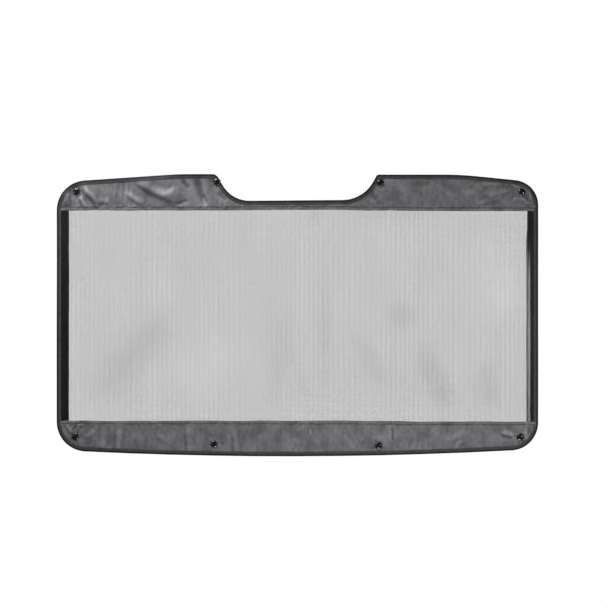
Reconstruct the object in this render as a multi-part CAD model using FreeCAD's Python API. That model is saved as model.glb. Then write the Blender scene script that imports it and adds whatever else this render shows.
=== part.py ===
import FreeCAD, Part
import math
import os

# Windshield screen: a flat sewn panel of open mesh with a vinyl band along the top and the
# bottom, a narrow strip down each side, a folded tape bound round the whole edge and eight
# snap fasteners. Millimetres. X runs across, Z is up, the front faces -Y and the snap sockets
# open towards +Y. The origin is the middle of the panel.

Vector = FreeCAD.Vector

# ---------------------------------------------------------------- driving dimensions
# Finished outline, over the edge binding
overall_width = 1016.0
overall_height = 595.5
top_left_drop = 17.3        # how far the top edge has sloped down where it would meet the side
top_right_drop = 17.5
right_of_notch_drop = 1.0   # the level part right of the notch is cut this much lower
shoulder_left_x = -252.0    # where the level part of the top edge ends
shoulder_right_x = 345.0
shoulder_radius = 600.0
corner_radius_top_left = 63.0
corner_radius_top_right = 53.0
corner_radius_bottom_left = 63.0
corner_radius_bottom_right = 59.0
bottom_arc_half_span = 446.0
bottom_arc_radius = 8900.0
bottom_low_x = -20.0        # the bottom edge's lowest place

# Notch in the middle of the top edge
notch_left_depth = 56.4     # its floor rises slightly from left to right
notch_right_depth = 54.3
notch_left_x = -171.4       # where its sloping walls would meet the level top edge
notch_right_x = 167.9
notch_left_slope = 60.0     # degrees from level
notch_right_slope = 62.0
notch_left_lip_radius = 14.0
notch_right_lip_radius = 6.0
notch_left_root_radius = 65.0
notch_right_root_radius = 75.0

# Mesh window left open between the bands and strips
window_half_width = 482.7
window_top = 221.0
window_bottom = -222.4

# Cloth and tape
mesh_thickness = 0.6
facing_thickness = 0.6      # each vinyl band or strip, one on each face of the mesh
binding_wall = 0.8
binding_cover = 9.3         # how far the folded tape reaches in from the edge

# Sewing
thread_width = 0.6
thread_height = 0.2
hem_seam_inset = 6.6        # from the window's edge to the seam along each band
strip_seam_inset = 3.0      # from the window's edge to the seam down each strip
binding_seam_inset = 7.3    # from the finished edge to the seam along the binding

# Size 24 snap fastener
cap_radius = 7.6
cap_height = 3.6
cap_rim_height = 0.9
cap_rim_chamfer = 0.25
cap_crown_radius = 4.4      # the dome is shallow inside this radius
cap_crown_drop = 0.35       # how far it has dropped there
cap_shoulder_radius = 6.5   # a place half way down the dome's steep part
cap_shoulder_drop = 1.15
post_radius = 2.2
post_bore_radius = 1.6
post_bore_set_back = 0.3    # the bore stops this far behind the cap's flat face
post_curl_radius = 3.2      # the post's end is rolled out over the socket's base
post_curl_height = 0.6
socket_radius = 6.5
socket_height = 3.6
socket_wall = 0.6
socket_base = 0.5
socket_mouth_radius = 4.2
socket_lip_length = 1.2     # straight wall of the mouth, rolled inwards
spring_wire_radius = 0.4
spring_ring_radius = 4.1    # to the wire's centre line
spring_gap_degrees = 30.0

# Snap centres (x, z). One is so near the notch that it is set through the binding as well.
snap_places = {
    "top_left_outer": (-466.0, 261.0),
    "top_left_inner": (-169.5, 281.4),
    "top_right_inner": (175.0, 279.4),
    "top_right_outer": (473.5, 260.0),
    "bottom_left_outer": (-468.5, -256.0),
    "bottom_left_inner": (-176.0, -272.0),
    "bottom_right_inner": (171.0, -275.0),
    "bottom_right_outer": (470.0, -257.0),
}
snaps_through_binding = ("top_left_inner",)

# ---------------------------------------------------------------- worked out from them
half_width = overall_width / 2
top_edge = overall_height / 2
bottom_edge = -overall_height / 2
mesh_half = mesh_thickness / 2
cloth_half = mesh_half + facing_thickness
binding_half = cloth_half + binding_wall

def bottom_corner():
    """Where the bottom arc's end tangents cross, and the heights at which they reach the sides."""
    left_angle = math.asin((bottom_arc_half_span + bottom_low_x) / bottom_arc_radius)
    right_angle = math.asin((bottom_arc_half_span - bottom_low_x) / bottom_arc_radius)
    lean = (right_angle - left_angle) / 2
    away = bottom_arc_radius / math.cos((left_angle + right_angle) / 2)
    x = bottom_low_x + away * math.sin(lean)
    z = bottom_edge + bottom_arc_radius - away * math.cos(lean)
    left_end = z + (half_width + x) * math.tan(left_angle)
    right_end = z + (half_width - x) * math.tan(right_angle)
    return x, z, left_end, right_end

def outline_corners():
    """Corner points of the finished edge with their rounding radii, clockwise from the front."""
    left_floor = top_edge - notch_left_depth
    right_floor = top_edge - notch_right_depth
    right_top = top_edge - right_of_notch_drop
    left_run = (top_edge - left_floor) / math.tan(math.radians(notch_left_slope))
    right_run = (right_top - right_floor) / math.tan(math.radians(notch_right_slope))
    bottom_x, bottom_z, left_end, right_end = bottom_corner()
    return [
        (-half_width, left_end, corner_radius_bottom_left),
        (-half_width, top_edge - top_left_drop, corner_radius_top_left),
        (shoulder_left_x, top_edge, shoulder_radius),
        (notch_left_x, top_edge, notch_left_lip_radius),
        (notch_left_x + left_run, left_floor, notch_left_root_radius),
        (notch_right_x - right_run, right_floor, notch_right_root_radius),
        (notch_right_x, right_top, notch_right_lip_radius),
        (shoulder_right_x, right_top, shoulder_radius),
        (half_width, top_edge - top_right_drop, corner_radius_top_right),
        (half_width, right_end, corner_radius_bottom_right),
        (bottom_x, bottom_z, bottom_arc_radius),
    ]

def corner_frame(corners, index):
    """A corner's point, the unit directions into and out of it, and which way it turns."""
    before = Vector(corners[index - 1][0], 0, corners[index - 1][1])
    here = Vector(corners[index][0], 0, corners[index][1])
    after = Vector(corners[(index + 1) % len(corners)][0], 0, corners[(index + 1) % len(corners)][1])
    into = (here - before).normalize()
    out = (after - here).normalize()
    bulges = into.x * out.z - into.z * out.x < 0
    return here, into, out, bulges

def inset_corners(corners, inset):
    """The same outline with every edge moved inwards; its round corners keep their centres."""
    moved = []
    for index, corner in enumerate(corners):
        here, into, out, bulges = corner_frame(corners, index)
        inward_before = Vector(into.z, 0, -into.x)
        inward_after = Vector(out.z, 0, -out.x)
        shift = (inward_before + inward_after) * (inset / (1 + inward_before.dot(inward_after)))
        radius = max(corner[2] - inset, 0.0) if bulges else corner[2] + inset
        moved.append((here.x + shift.x, here.z + shift.z, radius))
    return moved

def outline_face(inset, y):
    """A flat face inside the outline, moved inwards by inset and standing at depth y."""
    corners = inset_corners(outline_corners(), inset)
    lift = Vector(0, y, 0)
    arcs = []
    for index, corner in enumerate(corners):
        here, into, out, _ = corner_frame(corners, index)
        half_turn = into.getAngle(out) / 2
        reach = corner[2] * math.tan(half_turn)
        to_middle = (out - into).normalize() * (corner[2] / math.cos(half_turn) - corner[2])
        arcs.append((here - into * reach + lift, here + to_middle + lift, here + out * reach + lift))
    edges = []
    for index, (start, middle, end) in enumerate(arcs):
        if start.distanceToPoint(end) > 0.001:
            edges.append(Part.Arc(start, middle, end).toShape())
        edges.append(Part.LineSegment(end, arcs[(index + 1) % len(arcs)][0]).toShape())
    return Part.Face(Part.Wire(edges))

def slab(inset, front, back):
    """The outline, moved inwards by inset, filled between two depths."""
    return outline_face(inset, front).extrude(Vector(0, back - front, 0))

def block(left, right, front, back, low, high):
    return Part.makeBox(right - left, back - front, high - low, Vector(left, front, low))

def revolved(profile, centre, degrees=360.0):
    """Turn a closed profile, edges of (radius, 0, depth) points, about +Y through a snap centre."""
    face = Part.Face(Part.Wire(profile))
    face.rotate(Vector(0, 0, 0), Vector(1, 0, 0), -90)
    solid = face.revolve(Vector(0, 0, 0), Vector(0, 1, 0), degrees)
    solid.translate(Vector(centre[0], 0, centre[1]))
    return solid

def line(start, end):
    return Part.LineSegment(Vector(start[0], 0, start[1]), Vector(end[0], 0, end[1])).toShape()

def arc(start, middle, end):
    points = [Vector(point[0], 0, point[1]) for point in (start, middle, end)]
    return Part.Arc(*points).toShape()

def quarter_round(centre, radius):
    """A rounded corner from straight out beside its centre to straight behind it."""
    half = radius * math.sqrt(0.5)
    start = (centre[0] + radius, centre[1])
    return arc(start, (centre[0] + half, centre[1] + half), (centre[0], centre[1] + radius))

def polyline(points):
    """Straight edges from each point to the next."""
    return [line(start, end) for start, end in zip(points, points[1:])]

# ---------------------------------------------------------------- snap fasteners
def seat_of(place):
    """How far in front of and behind the middle of the cloth a snap's cap and socket sit."""
    return binding_half if place in snaps_through_binding else cloth_half

def snap_cap(centre, seat):
    """Domed cap on the front, with its hollow post through the cloth, rolled over at the back."""
    face = -seat
    crown = face - cap_height
    rim_top = face - cap_rim_height
    base_back = seat + socket_base
    curl_back = base_back + post_curl_height
    bore_end = face + post_bore_set_back
    curl_inner = post_curl_radius - post_curl_height
    crown_round = (cap_crown_radius**2 + cap_crown_drop**2) / (2 * cap_crown_drop)
    half_way = cap_crown_radius / 2
    shallow_middle = (half_way, crown + crown_round - math.sqrt(crown_round**2 - half_way**2))
    shallow_end = (cap_crown_radius, crown + cap_crown_drop)
    steep_middle = (cap_shoulder_radius, crown + cap_shoulder_drop)
    steep_end = (cap_radius, rim_top)
    profile = [
        arc((0, crown), shallow_middle, shallow_end),
        arc(shallow_end, steep_middle, steep_end),
    ]
    profile += polyline([
        steep_end,
        (cap_radius, face - cap_rim_chamfer),
        (cap_radius - cap_rim_chamfer, face),
        (post_radius, face),
        (post_radius, base_back),
        (post_curl_radius, base_back),
    ])
    profile.append(quarter_round((curl_inner, base_back), post_curl_height))
    profile += polyline([
        (curl_inner, curl_back),
        (post_bore_radius, curl_back),
        (post_bore_radius, bore_end),
        (0, bore_end),
        (0, crown),
    ])
    return revolved(profile, centre)

def snap_socket(centre, seat):
    """Pressed cup on the back with a rolled round mouth that takes the stud."""
    base = seat
    floor = base + socket_base
    top = base + socket_height
    roll = socket_wall
    inner = socket_radius - socket_wall
    under_mouth = top - socket_wall
    lip_end = top - socket_lip_length
    lip_outer = socket_mouth_radius + socket_wall
    profile = polyline([
        (post_radius, base),
        (socket_radius, base),
        (socket_radius, top - roll),
    ])
    profile.append(quarter_round((socket_radius - roll, top - roll), roll))
    profile += polyline([
        (socket_radius - roll, top),
        (socket_mouth_radius, top),
        (socket_mouth_radius, lip_end),
        (lip_outer, lip_end),
        (lip_outer, under_mouth),
        (inner, under_mouth),
        (inner, floor),
        (post_radius, floor),
        (post_radius, base),
    ])
    return revolved(profile, centre)

def snap_spring(centre, seat):
    """Split wire ring held under the socket's mouth, which grips the stud's neck."""
    depth = seat + socket_height - socket_lip_length - spring_wire_radius
    circle = Part.Circle(Vector(spring_ring_radius, depth, 0), Vector(0, 0, 1), spring_wire_radius)
    face = Part.Face(Part.Wire([circle.toShape()]))
    ring = face.revolve(Vector(0, 0, 0), Vector(0, 1, 0), 360.0 - spring_gap_degrees)
    ring.translate(Vector(centre[0], 0, centre[1]))
    return ring

def along_y(radius, front, back, centre):
    """A round bar from front to back through a snap centre."""
    return Part.makeCylinder(radius, back - front, Vector(centre[0], front, centre[1]), Vector(0, 1, 0))

def snap_holes():
    """The punched holes that the posts fill."""
    holes = [along_y(post_radius, -binding_half, binding_half, place) for place in snap_places.values()]
    return Part.makeCompound(holes)

def snap_footprints(outer):
    """The room that the caps and sockets take beside the cloth, out to a distance from its middle."""
    rooms = []
    for place, centre in snap_places.items():
        seat = seat_of(place)
        if seat < outer:
            rooms.append(along_y(cap_radius, -outer, -seat, centre))
            rooms.append(along_y(socket_radius, seat, outer, centre))
    return Part.makeCompound(rooms)

# ---------------------------------------------------------------- cloth
def mesh_panel(holes):
    """Open mesh, cut to the full outline inside the binding and held between the bands."""
    return slab(binding_wall, -mesh_half, mesh_half).cut(holes)

def band(low, high, front, back, holes):
    """Vinyl band across the full width between two heights."""
    reach = block(-half_width, half_width, front, back, low, high)
    return slab(binding_wall, front, back).common(reach).cut(holes)

def side_strip(side, front, back):
    """Narrow strip between the window and the edge; side is -1 for left and 1 for right."""
    inner = side * window_half_width
    outer = side * half_width
    reach = block(min(inner, outer), max(inner, outer), front, back, window_bottom, window_top)
    return slab(binding_wall, front, back).common(reach)

def edge_binding(holes):
    """Tape folded round the whole edge, a leg on each face, pressed flat where a snap sits on it."""
    tape = slab(0, -binding_half, binding_half)
    tape = tape.cut(slab(binding_cover, -binding_half, binding_half))
    tape = tape.cut(slab(binding_wall, -cloth_half, cloth_half))
    return tape.cut(holes).cut(snap_footprints(binding_half))

# ---------------------------------------------------------------- sewing
def level_seam(height, face):
    """Thread lying on one face of the cloth along a band's hem; face is -1 front, 1 back."""
    near = face * cloth_half
    far = face * (cloth_half + thread_height)
    half = thread_width / 2
    front = min(near, far)
    back = max(near, far)
    reach = block(-half_width, half_width, front, back, height - half, height + half)
    return slab(binding_cover, front, back).common(reach)

def upright_seam(x, face):
    """Thread lying on one face of the cloth down a side strip."""
    near = face * cloth_half
    far = face * (cloth_half + thread_height)
    half = thread_width / 2
    return block(x - half, x + half, min(near, far), max(near, far), window_bottom, window_top)

def binding_seam(face):
    """Thread round one leg of the binding, less what two of the snaps hide."""
    near = face * binding_half
    far = face * (binding_half + thread_height)
    outer = binding_seam_inset - thread_width / 2
    inner = binding_seam_inset + thread_width / 2
    front = min(near, far)
    back = max(near, far)
    seam = slab(outer, front, back).cut(slab(inner, front, back))
    return seam.cut(snap_footprints(binding_half + thread_height))

# ---------------------------------------------------------------- the whole screen
def all_parts():
    """Every node's name with its solid."""
    holes = snap_holes()
    parts = {"mesh_panel": mesh_panel(holes), "edge_binding": edge_binding(holes)}
    faces = {"front": (-cloth_half, -mesh_half, -1), "back": (mesh_half, cloth_half, 1)}
    strip_seam_x = window_half_width + strip_seam_inset
    for name, (front, back, face) in faces.items():
        parts["top_band_" + name] = band(window_top, top_edge, front, back, holes)
        parts["bottom_band_" + name] = band(bottom_edge, window_bottom, front, back, holes)
        parts["side_strip_left_" + name] = side_strip(-1, front, back)
        parts["side_strip_right_" + name] = side_strip(1, front, back)
        parts["hem_thread_top_" + name] = level_seam(window_top + hem_seam_inset, face)
        parts["hem_thread_bottom_" + name] = level_seam(window_bottom - hem_seam_inset, face)
        parts["strip_thread_left_" + name] = upright_seam(-strip_seam_x, face)
        parts["strip_thread_right_" + name] = upright_seam(strip_seam_x, face)
        parts["binding_thread_" + name] = binding_seam(face)
    for place, centre in snap_places.items():
        seat = seat_of(place)
        parts["snap_cap_" + place] = snap_cap(centre, seat)
        parts["snap_socket_" + place] = snap_socket(centre, seat)
        parts["snap_spring_" + place] = snap_spring(centre, seat)
    return parts

os.makedirs("parts", exist_ok=True)
for node, shape in all_parts().items():
    whole = shape.Solids[0] if len(shape.Solids) == 1 else Part.makeCompound(shape.Solids)
    if not whole.isValid() or whole.Volume <= 0:
        raise ValueError(node + " is not a valid solid")
    whole.exportStep("parts/" + node + ".step")
    box = whole.BoundBox
    print(node, len(shape.Solids), round(whole.Volume, 1), round(box.YMin, 3), round(box.YMax, 3))
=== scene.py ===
import math

import bmesh
import bpy
import numpy as np
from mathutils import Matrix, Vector

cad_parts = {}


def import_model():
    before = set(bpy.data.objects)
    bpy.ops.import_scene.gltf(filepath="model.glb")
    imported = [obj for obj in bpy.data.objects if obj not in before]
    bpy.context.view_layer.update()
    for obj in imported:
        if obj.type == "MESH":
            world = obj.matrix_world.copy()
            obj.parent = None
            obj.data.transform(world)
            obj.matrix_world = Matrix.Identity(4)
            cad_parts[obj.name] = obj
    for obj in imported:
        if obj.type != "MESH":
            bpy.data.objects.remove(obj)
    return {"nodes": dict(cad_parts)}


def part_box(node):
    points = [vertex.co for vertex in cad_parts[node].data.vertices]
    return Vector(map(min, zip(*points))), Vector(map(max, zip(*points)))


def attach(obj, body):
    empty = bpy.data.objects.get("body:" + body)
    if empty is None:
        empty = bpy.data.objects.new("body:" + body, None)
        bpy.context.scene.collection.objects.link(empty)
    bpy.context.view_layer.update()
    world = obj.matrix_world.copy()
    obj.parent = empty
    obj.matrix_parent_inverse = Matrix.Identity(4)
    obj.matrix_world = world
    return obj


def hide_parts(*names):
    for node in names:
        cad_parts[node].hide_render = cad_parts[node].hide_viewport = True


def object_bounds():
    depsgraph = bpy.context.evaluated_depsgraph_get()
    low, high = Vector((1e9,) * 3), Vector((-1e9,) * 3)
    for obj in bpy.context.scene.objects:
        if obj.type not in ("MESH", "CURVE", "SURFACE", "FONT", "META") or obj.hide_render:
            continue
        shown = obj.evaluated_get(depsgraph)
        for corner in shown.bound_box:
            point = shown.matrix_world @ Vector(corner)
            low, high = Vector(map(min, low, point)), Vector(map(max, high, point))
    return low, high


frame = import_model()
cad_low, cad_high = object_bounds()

# Looks of the mesh windshield screen. Everything is in metres in the row frame: X across, Z up,
# the front towards -Y. Depths are given as distances from the middle of the cloth.
MM = 0.001

# ---------------------------------------------------------------- places read from the frame
half_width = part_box("edge_binding")[1].x
binding_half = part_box("edge_binding")[1].y
cloth_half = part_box("top_band_back")[1].y
mesh_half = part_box("mesh_panel")[1].y
window_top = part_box("top_band_front")[0].z
window_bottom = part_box("bottom_band_front")[1].z
window_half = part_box("side_strip_right_front")[0].x
binding_cover = half_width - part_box("hem_thread_top_front")[1].x


def middle(node):
    low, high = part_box(node)
    return (low + high) / 2


hem_seam_inset = middle("hem_thread_top_front").z - window_top
strip_seam_inset = middle("strip_thread_right_front").x - window_half
thread_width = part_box("strip_thread_right_front")[1].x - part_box("strip_thread_right_front")[0].x
binding_seam_inset = half_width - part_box("binding_thread_front")[1].x + thread_width / 2

SNAP_PLACES = [name[len("snap_cap_"):] for name in frame["nodes"] if name.startswith("snap_cap_")]
snap_centres = {place: middle("snap_cap_" + place) for place in SNAP_PLACES}
snap_seats = {place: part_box("snap_socket_" + place)[0].y for place in SNAP_PLACES}
cap_radius = (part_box("snap_cap_top_left_outer")[1].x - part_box("snap_cap_top_left_outer")[0].x) / 2

# ---------------------------------------------------------------- sizes of the cloth work
NET_PITCH_ACROSS = 1.76 * MM
NET_PITCH_UP = 1.8 * MM
NET_THREAD = 0.49 * MM          # a coated thread, seen from the front
NET_DEPTH = 0.4 * MM
NET_STREAK = 10.5 * MM          # the upright threads bunch and part this often
NET_BUNCHING = 0.17 * MM
NET_TUCK = 7 * MM               # how far the net runs in behind the bands and strips
BAND_STEP = 2.0 * MM
TUCK = 4 * MM                   # cloth edges lie this far inside the binding's fold
HEM_WIDTH = 9 * MM
HEM_RAISE = 0.35 * MM           # the hem is a second layer
STRIP_THICK = 0.45 * MM
STRIP_UNDER = 12 * MM           # the strips run on under the bands
STITCH_PITCH = 4.5 * MM
STITCH_GAP = 0.8 * MM
STITCH_RADIUS = 0.4 * MM
BINDING_STEP = 1.25 * MM
BAND_EASE = 10 * MM             # the bands' folds die out over this height above the window's edge
CURL_WIDTH = 8.4 * MM           # the part of the right strip that curls
CURL_DEPTH = 2.4 * MM
POST_RADIUS = 2.2 * MM
POST_BORE_RADIUS = 1.6 * MM
SOCKET_MOUTH_RADIUS = 4.2 * MM
SOCKET_WALL = 0.6 * MM
SOCKET_BASE = 0.5 * MM


def smoothstep(value, low, high):
    share = np.clip((value - low) / (high - low), 0, 1)
    return share * share * (3 - 2 * share)


# ---------------------------------------------------------------- the outline
def outline_ring():
    """The finished outline as a ring of (x, z) points, read from the binding's CAD mesh."""
    bm = bmesh.new()
    bm.from_mesh(frame["nodes"]["edge_binding"].data)
    bmesh.ops.remove_doubles(bm, verts=bm.verts, dist=1e-6)
    front = [face for face in bm.faces if face.normal.y < -0.99 and face.verts[0].co.y < -cloth_half - 1e-5]
    flat = set(front)
    follows = {}
    for face in front:
        for loop in face.loops:
            if sum(other in flat for other in loop.edge.link_faces) == 1:
                follows[loop.vert] = loop.link_loop_next.vert
    rings = []
    while follows:
        vert, after = follows.popitem()
        ring = [vert]
        while after in follows:
            ring.append(after)
            after = follows.pop(after)
        rings.append(np.array([(point.co.x, point.co.z) for point in ring]))
    bm.free()
    return max(rings, key=lambda ring: np.ptp(ring[:, 0]))


def resampled(ring, step):
    """The ring with evenly spaced points."""
    closed = np.vstack([ring, ring[:1]])
    run = np.concatenate([[0], np.cumsum(np.linalg.norm(np.diff(closed, axis=0), axis=1))])
    count = int(round(run[-1] / step))
    at = np.linspace(0, run[-1], count, endpoint=False)
    return np.stack([np.interp(at, run, closed[:, axis]) for axis in (0, 1)], axis=1), run[-1] / count


def smoothed(values, reach):
    """A ring's values averaged with a bell curve of that reach, in points."""
    width = int(3 * reach) + 1
    weights = np.exp(-0.5 * (np.arange(-width, width + 1) / reach) ** 2)
    weights /= weights.sum()
    wrapped = np.concatenate([values[-width:], values, values[:width]])
    return np.stack([np.convolve(column, weights, mode="valid") for column in wrapped.T], axis=1)


class Outline:
    """Evenly spaced points round the edge, with the inward direction at each."""

    def __init__(self, step):
        raw, self.step = resampled(outline_ring(), step)
        self.points = smoothed(raw, 1.2 * MM / self.step)
        along = np.roll(self.points, -1, axis=0) - np.roll(self.points, 1, axis=0)
        along /= np.linalg.norm(along, axis=1)[:, None]
        inward = np.stack([along[:, 1], -along[:, 0]], axis=1)
        if (inward * self.points).sum() > 0:
            inward = -inward
        inward = smoothed(inward, 4 * MM / self.step)
        self.inward = inward / np.linalg.norm(inward, axis=1)[:, None]
        turn = np.linalg.norm(np.roll(self.inward, -1, axis=0) - self.inward, axis=1) / self.step
        self.bend = smoothed(turn[:, None], 5 * MM / self.step)[:, 0]
        self.run = np.arange(len(self.points)) * self.step

    def inset(self, distance):
        return self.points + self.inward * distance


outline = Outline(BINDING_STEP)


def band_room(x, top):
    """How far a band reaches from its hemmed edge to its hidden edge inside the binding, at each x."""
    ring = outline.inset(TUCK)
    edge = hem_line(ring[:, 0], top)
    reach = ring[:, 1] - edge if top else edge - ring[:, 1]
    order = np.argsort(ring[reach > 0, 0])
    return np.interp(x, ring[reach > 0, 0][order], reach[reach > 0][order])


# ---------------------------------------------------------------- how the cloth lies
def ripples(x, z, seed, count, shortest, longest, upright=1.0):
    """Smooth random unevenness of about unit height; upright over 1 draws it out in Z."""
    random = np.random.default_rng(seed)
    total = 0 * (x + z)
    for _ in range(count):
        angle = random.uniform(0, 2 * math.pi)
        length = math.exp(random.uniform(math.log(shortest), math.log(longest)))
        phase = random.uniform(0, 2 * math.pi)
        total += np.sin(2 * math.pi * (x * math.cos(angle) + z * math.sin(angle) / upright) / length + phase)
    return total / math.sqrt(count / 2)


def fold(x, z, line, height, upper, lower):
    """A tapering ridge along a bent line, with its own width on each side of it."""
    line = np.array(line) * MM
    steps = np.diff(line, axis=0)
    lengths = np.hypot(steps[:, 0], steps[:, 1])
    starts = np.concatenate([[0], np.cumsum(lengths)])
    nearest = np.full_like(x, np.inf)
    side = np.zeros_like(x)
    run = np.zeros_like(x)
    for point, step, length, begun in zip(line, steps / lengths[:, None], lengths, starts):
        along = np.clip((x - point[0]) * step[0] + (z - point[1]) * step[1], 0, length)
        away_x = x - point[0] - along * step[0]
        away_z = z - point[1] - along * step[1]
        away = np.hypot(away_x, away_z)
        closer = away < nearest
        nearest = np.where(closer, away, nearest)
        side = np.where(closer, away_z * step[0] - away_x * step[1], side)
        run = np.where(closer, begun + along, run)
    share = run / starts[-1]
    taper = smoothstep(share, -0.05, 0.4) * (1 - smoothstep(share, 0.7, 1.05))
    width = np.where(side > 0, upper, lower) * MM
    return -height * MM * np.exp(-((nearest / width) ** 2)) * taper


# Folds that show in the bands: the line each follows, its height, and its widths above and
# below the line, all in mm; above means right of a line that runs down. A positive height
# stands out towards the front.
FOLDS = [
    (((-348, 287), (-330, 277), (-312, 266), (-296, 258), (-280, 252), (-264, 247), (-244, 245)),
     7.5, 15, 6.5),
    (((-304, 240), (-280, 252), (-256, 264), (-232, 273)), 2.4, 9, 16),
    (((-336, 292), (-292, 287), (-246, 293)), 2.6, 6, 13),
    (((-366, 262), (-350, 250), (-336, 241), (-322, 234)), 3.6, 8, 5),
    (((-262, 236), (-246, 238), (-230, 244)), -1.6, 5, 5),
    (((-246, 294), (-238, 280), (-226, 266)), -2.6, 5, 6),
    (((-217, 300), (-210, 276), (-204, 256), (-190, 232)), -8.5, 10, 9),
    (((-200, 292), (-196, 262), (-182, 236)), 2.0, 9, 6),
    (((-462, 272), (-444, 259), (-432, 249), (-424, 238), (-420, 226)), 5.6, 8, 5.5),
    (((-424, 242), (-408, 238), (-394, 238)), 2.4, 8, 4),
    (((-466, 262), (-457, 247), (-450, 234), (-446, 224)), 3.6, 4.5, 4),
    (((-500, 236), (-489, 236), (-478, 236)), 3.0, 16, 4),
    (((-424, 233), (-416, 236), (-406, 234)), -2.0, 5, 5),
    (((-482, 262), (-487, 250), (-489, 234)), 2.6, 5, 4),
    (((-385, 290), (-386, 262), (-386, 228)), 0.45, 2.5, 2.5),
    (((-373, 290), (-373, 262), (-373, 228)), 0.35, 2, 2),
    (((-362, 290), (-362, 262), (-362, 228)), 0.45, 2.5, 2),
    (((-356, 290), (-356, 262), (-355, 228)), -0.35, 3, 2),
    (((-168, 262), (-160, 252), (-146, 243)), -2.4, 8, 6),
    (((150, 262), (160, 254), (172, 246)), -2.0, 6, 8),
    (((150, 238), (158, 241), (168, 238)), 1.6, 5, 5),
    (((166, 268), (176, 266), (185, 263)), 1.4, 3, 3),
    (((200, 276), (228, 262), (262, 248)), 2.2, 12, 8),
    (((230, 284), (262, 276), (286, 280)), -2.0, 9, 9),
    (((283, 282), (312, 266), (338, 248)), 2.6, 11, 8),
    (((350, 252), (374, 262), (392, 276)), 2.2, 8, 7),
    (((372, 272), (404, 279), (440, 284)), 2.0, 7, 6),
    (((398, 250), (424, 257), (450, 268)), 3.0, 7, 4.5),
    (((376, 236), (404, 243), (434, 252)), 2.4, 6, 5),
    (((448, 282), (458, 275), (464, 268)), 2.6, 4, 4),
    (((484, 270), (492, 258), (493, 242)), 2.8, 4, 4),
    (((470, 250), (478, 246), (488, 234)), 2.2, 4, 4),
    (((452, 238), (458, 247), (468, 250), (478, 246), (482, 237)), 1.8, 3, 6),
    (((-478, -246), (-484, -238), (-486, -230)), 2.2, 3, 4),
    (((-470, -240), (-462, -232), (-450, -228)), 2.0, 3, 4),
    (((-452, -262), (-440, -252), (-426, -240)), 2.4, 5, 4),
    (((-407, -230), (-410, -258), (-414, -286)), 3.0, 6, 7),
    (((-374, -230), (-377, -260), (-380, -290)), 3.2, 6, 6),
    (((-464, -230), (-472, -240), (-471, -252)), -3.0, 4, 3.5),
    (((-300, -250), (-282, -260), (-262, -274)), 2.0, 8, 6),
    (((-232, -232), (-230, -262), (-226, -294)), 3.0, 9, 5),
    (((-134, -234), (-131, -262), (-128, -292)), 2.8, 6, 5),
    (((-40, -252), (-6, -262), (28, -270)), 1.8, 9, 7),
    (((26, -236), (27, -244), (26, -252)), 1.8, 3, 2),
    (((96, -246), (106, -262), (120, -282)), 1.8, 6, 8),
    (((200, -230), (201, -248), (201, -266)), -2.6, 3.5, 3.5),
    (((244, -240), (248, -260), (240, -284)), 1.8, 6, 6),
    (((300, -264), (326, -256), (356, -246)), 2.0, 8, 8),
    (((330, -286), (338, -270), (352, -262)), 2.0, 5, 5),
    (((430, -236), (446, -244), (456, -256)), 2.6, 5, 5),
    (((424, -251), (440, -254), (458, -257)), -4.0, 5, 6),
    (((484, -236), (482, -246), (478, -252)), 2.2, 4, 4),
]


def snap_effect(x, z):
    """How far the snaps hold the cloth flat, from 1 at a snap to 0, and their small puckers."""
    held = np.zeros_like(x)
    puckers = np.zeros_like(x)
    for index, place in enumerate(SNAP_PLACES):
        centre = snap_centres[place]
        away = np.hypot(x - centre.x, z - centre.z)
        angle = np.arctan2(z - centre.z, x - centre.x)
        held = np.maximum(held, 1 - smoothstep(away, cap_radius, cap_radius + 14 * MM))
        lobes = np.sin(5 * angle + 1.7 * index) + 0.6 * np.sin(8 * angle - index)
        ring = smoothstep(away, cap_radius, cap_radius + 3 * MM) * np.exp(-away / (11 * MM))
        puckers += 0.5 * MM * lobes * ring
    return held, puckers


def drape(x, z):
    """Depth of the middle of the cloth behind its flat place."""
    above = smoothstep(z, window_top, window_top + BAND_EASE)
    below = smoothstep(-z, -window_bottom, BAND_EASE - window_bottom)
    in_band = np.maximum(above, below)
    depth = 0.9 * MM * ripples(x, z, 3, 7, 190 * MM, 420 * MM)
    depth += 0.3 * MM * in_band * ripples(x, z, 5, 16, 26 * MM, 75 * MM, upright=1.4)
    depth += 0.08 * MM * in_band * ripples(x, z, 8, 20, 9 * MM, 22 * MM, upright=1.3)
    for line, height, upper, lower in FOLDS:
        depth += in_band * fold(x, z, line, height, upper, lower)
    curl = smoothstep(-z, -200 * MM, -60 * MM)
    crease = window_half + CURL_WIDTH
    rise = np.clip((crease - x) / CURL_WIDTH, 0, 1) * smoothstep(x, window_half - 60 * MM, window_half)
    depth -= CURL_DEPTH * curl * rise
    held, puckers = snap_effect(x, z)
    return depth * (1 - held) + puckers


def painted_fold_shade_and_wear(x, z, face):
    """Painted shade in folds' hollows and painted light and wear on their crests, on one face, for both sides
    of a shell: towards 1 on folds' crests and 0 in their hollows.
    """
    reach = 2.5 * MM
    around = drape(x - reach, z) + drape(x + reach, z) + drape(x, z - reach) + drape(x, z + reach)
    bend = (around - 4 * drape(x, z)) / reach**2
    fold_shade_and_wear = 0.5 - 0.5 * face * np.tanh(bend * 9 * MM)
    return np.concatenate([fold_shade_and_wear, fold_shade_and_wear[::-1]])


# ---------------------------------------------------------------- mesh making
def note(piece, name, values):
    """Keep a value for each point of a piece, for its material."""
    attribute = piece.data.attributes.new(name, "FLOAT", "POINT")
    attribute.data.foreach_set("value", np.ravel(values).astype(np.float32))


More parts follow.
